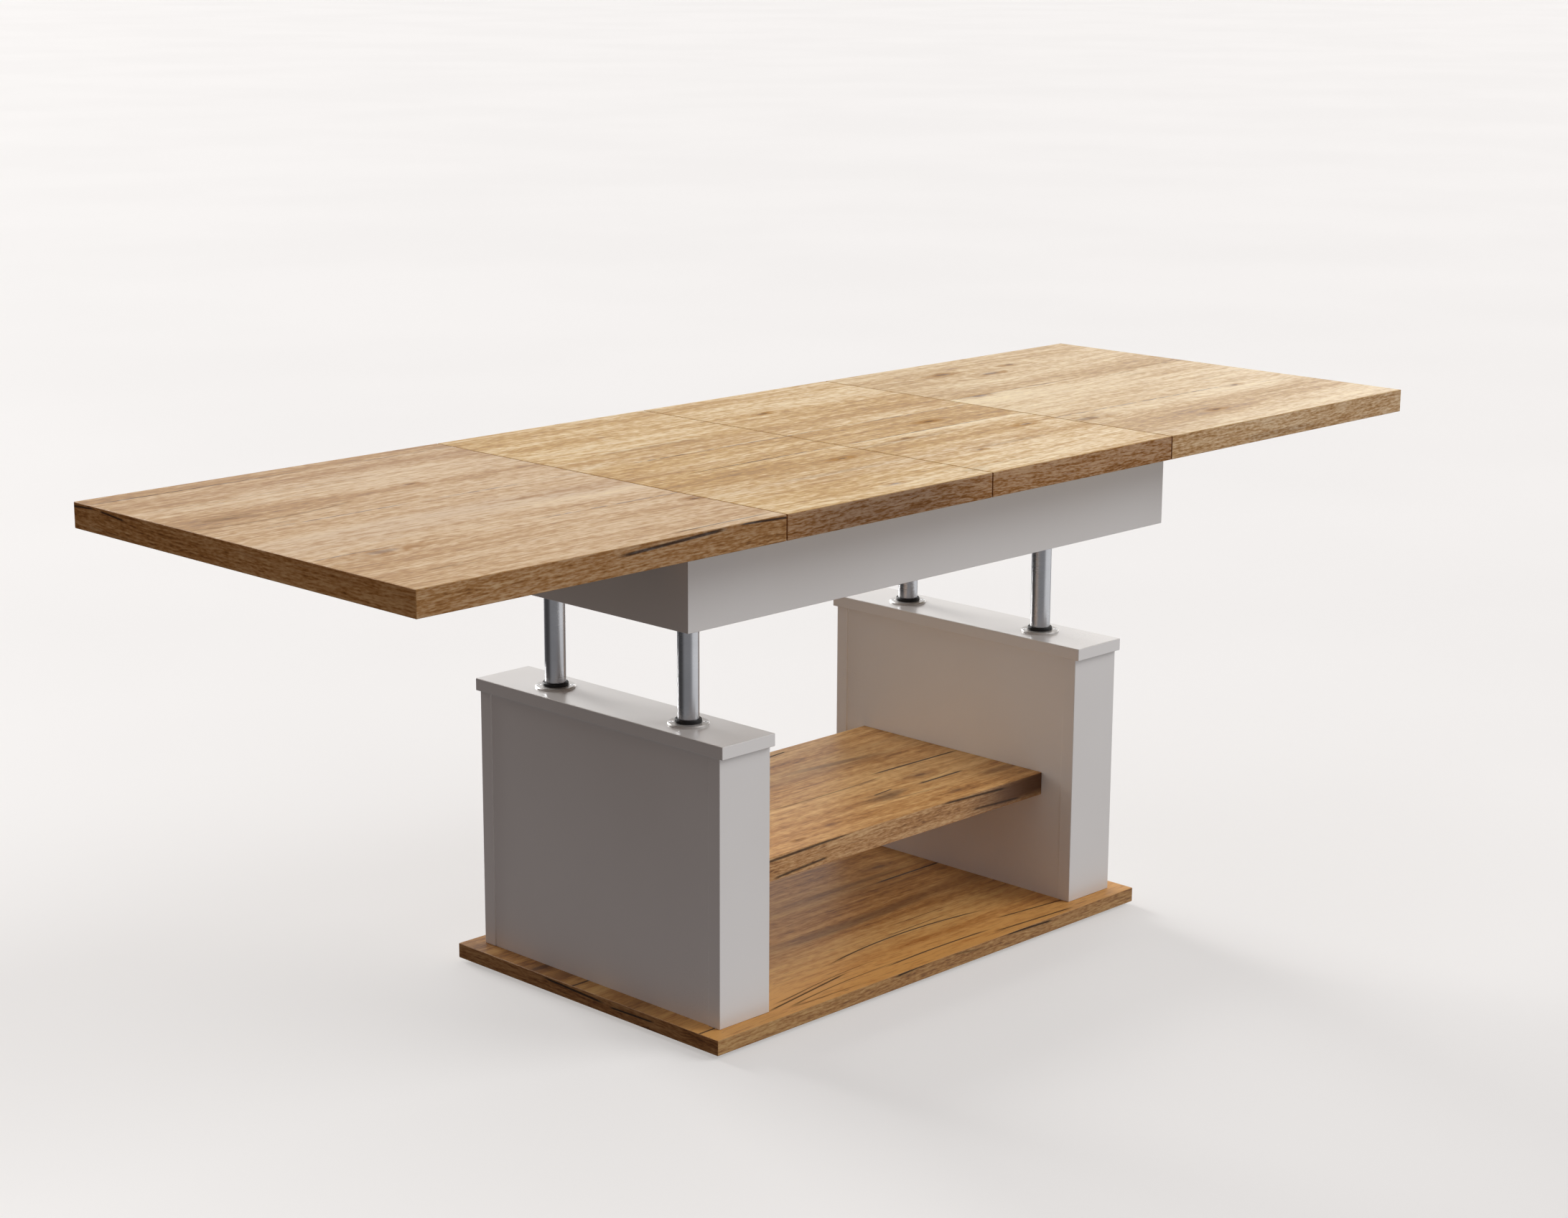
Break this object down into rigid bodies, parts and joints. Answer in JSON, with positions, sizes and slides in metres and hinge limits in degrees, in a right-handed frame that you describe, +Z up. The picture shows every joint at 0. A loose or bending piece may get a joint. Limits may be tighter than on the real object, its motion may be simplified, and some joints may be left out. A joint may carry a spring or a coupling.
{
  "type": "lifting extending table",
  "caption": "Oak-topped table that lifts from coffee to dining height on round posts in white pedestals, with loose leaves between sliding end panels.",
  "frame": {"origin": "on the floor, under the middle of the table", "axes": "+X along the table towards the right end panel, +Y towards the rear long side, +Z up"},
  "size_m": [2.0044, 0.7, 0.75],
  "materials": {
    "oak_laminate": "oak decor laminate with a matt printed grain",
    "white_laminate": "white satin laminate",
    "plain_board": "plain board, unseen",
    "beech": "waxed beech",
    "post_steel": "drawn tube, satin",
    "collar_chrome": "polished",
    "wiper_rubber": "matt black",
    "black_plastic": "moulded, matt",
    "track_aluminium": "mill finish",
    "zinc_steel": "zinc plated",
    "black_steel": "black powder coat"
  },
  "bodies": {
    "base": {"base_board": "oak_laminate", "base_small_screws": "zinc_steel", "collar_screws": "collar_chrome", "connecting_screws": "zinc_steel", "floor_glides": "black_plastic", "guide_battens": "beech", "guide_sleeves_lower": "black_plastic", "guide_sleeves_upper": "black_plastic", "joint_dowels": "beech", "left_cap": "white_laminate", "left_front_stile": "white_laminate", "left_guide_board": "plain_board", "left_inner_panel": "white_laminate", "left_outer_panel": "white_laminate", "left_rear_stile": "white_laminate", "post_collars": "collar_chrome", "right_cap": "white_laminate", "right_front_stile": "white_laminate", "right_guide_board": "plain_board", "right_inner_panel": "white_laminate", "right_outer_panel": "white_laminate", "right_rear_stile": "white_laminate", "shelf": "oak_laminate", "spring_cylinders": "black_steel", "spring_feet": "black_steel", "wiper_rings": "wiper_rubber"},
    "lift": {"apron_front": "white_laminate", "apron_rear": "white_laminate", "apron_left": "white_laminate", "apron_right": "white_laminate", "apron_floor": "plain_board", "apron_corner_blocks": "beech", "apron_screws": "zinc_steel", "bearing_screws": "zinc_steel", "lever_bearings": "black_plastic", "post_front_left": "post_steel", "post_front_right": "post_steel", "post_rear_left": "post_steel", "post_rear_right": "post_steel", "post_flanges": "black_steel", "spring_rods": "collar_chrome", "front_runner_track": "track_aluminium", "rear_runner_track": "track_aluminium", "runner_stops": "black_plastic"},
    "left_end": {"left_end_panel": "oak_laminate", "left_runners": "beech", "left_runner_screws": "zinc_steel", "left_stop_pegs": "zinc_steel"},
    "left_leaf": {"left_leaf": "oak_laminate", "left_leaf_cleats": "beech"},
    "left_lever": {"left_release_lever": "black_steel"},
    "left_valves": {"left_valve_pins": "zinc_steel"},
    "right_end": {"right_end_panel": "oak_laminate", "right_runners": "beech", "right_runner_screws": "zinc_steel", "right_stop_pegs": "zinc_steel"},
    "right_leaf": {"right_leaf": "oak_laminate", "right_leaf_cleats": "beech"},
    "right_lever": {"right_release_lever": "black_steel"},
    "right_valves": {"right_valve_pins": "zinc_steel"}
  },
  "joints": [
    {"name": "top_lift", "type": "slide", "parent": "base", "child": "lift", "axis": [0, 0, 1], "range_m": [-0.16, 0]},
    {"name": "left_end_slide", "type": "slide", "parent": "lift", "child": "left_end", "axis": [-1, 0, 0], "range_m": [0, 0.04]},
    {"name": "left_leaf_lift", "type": "slide", "parent": "lift", "child": "left_leaf", "axis": [0, 0, 1], "range_m": [0, 0.2]},
    {"name": "left_lever_pull", "type": "hinge", "parent": "lift", "child": "left_lever", "pos_m": [-0.347, 0, 0.6035], "axis": [0, -1, 0], "range_deg": [0, 6], "stiffness_Nm_per_rad": 6, "springref_deg": -4.58},
    {"name": "left_valve_press", "type": "slide", "parent": "lift", "child": "left_valves", "axis": [0, 0, -1], "range_m": [0, 0.003]},
    {"name": "right_end_slide", "type": "slide", "parent": "lift", "child": "right_end", "axis": [1, 0, 0], "range_m": [0, 0.04]},
    {"name": "right_leaf_lift", "type": "slide", "parent": "lift", "child": "right_leaf", "axis": [0, 0, 1], "range_m": [0, 0.2]},
    {"name": "right_lever_pull", "type": "hinge", "parent": "lift", "child": "right_lever", "pos_m": [0.347, 0, 0.6035], "axis": [0, 1, 0], "range_deg": [0, 6], "stiffness_Nm_per_rad": 6, "springref_deg": -4.58},
    {"name": "right_valve_press", "type": "slide", "parent": "lift", "child": "right_valves", "axis": [0, 0, -1], "range_m": [0, 0.003]}
  ],
  "couplings": [
    {"joint": "left_valve_press", "follows": "left_lever_pull", "m_per_rad": 0.024},
    {"joint": "right_valve_press", "follows": "right_lever_pull", "m_per_rad": 0.024}
  ]
}
